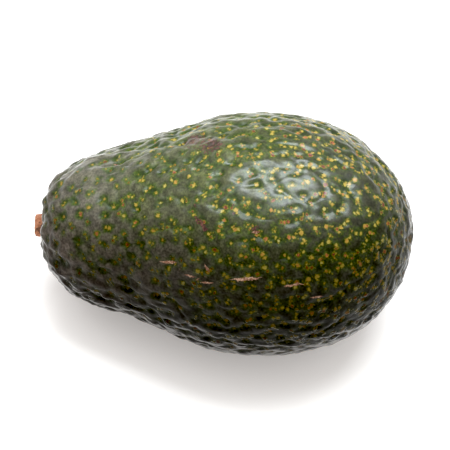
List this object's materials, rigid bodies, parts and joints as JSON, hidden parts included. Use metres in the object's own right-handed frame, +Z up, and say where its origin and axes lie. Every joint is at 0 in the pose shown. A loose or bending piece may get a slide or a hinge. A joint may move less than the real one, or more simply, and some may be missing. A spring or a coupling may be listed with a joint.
{
  "type": "avocado",
  "caption": "Whole pear-shaped avocado with dark green pebbled skin, lying on its side, with the woody button of its cut stalk in the narrow end.",
  "frame": {"origin": "middle of the small flat spot that the fruit rests on, on the surface it lies on", "axes": "+Z up; the fruit's long axis runs along X, pitched a few degrees, with the stem end towards -X and the blossom end towards +X"},
  "size_m": [0.1065, 0.0683, 0.0657],
  "materials": {
    "skin": "waxy, half-gloss pebbled peel, dark green with small yellow-green and rust spots",
    "stalk_wood": "dry, matt, rust-brown stalk wood"
  },
  "bodies": {
    "root": {"fruit": "skin", "stem_button": "stalk_wood"}
  },
  "joints": []
}
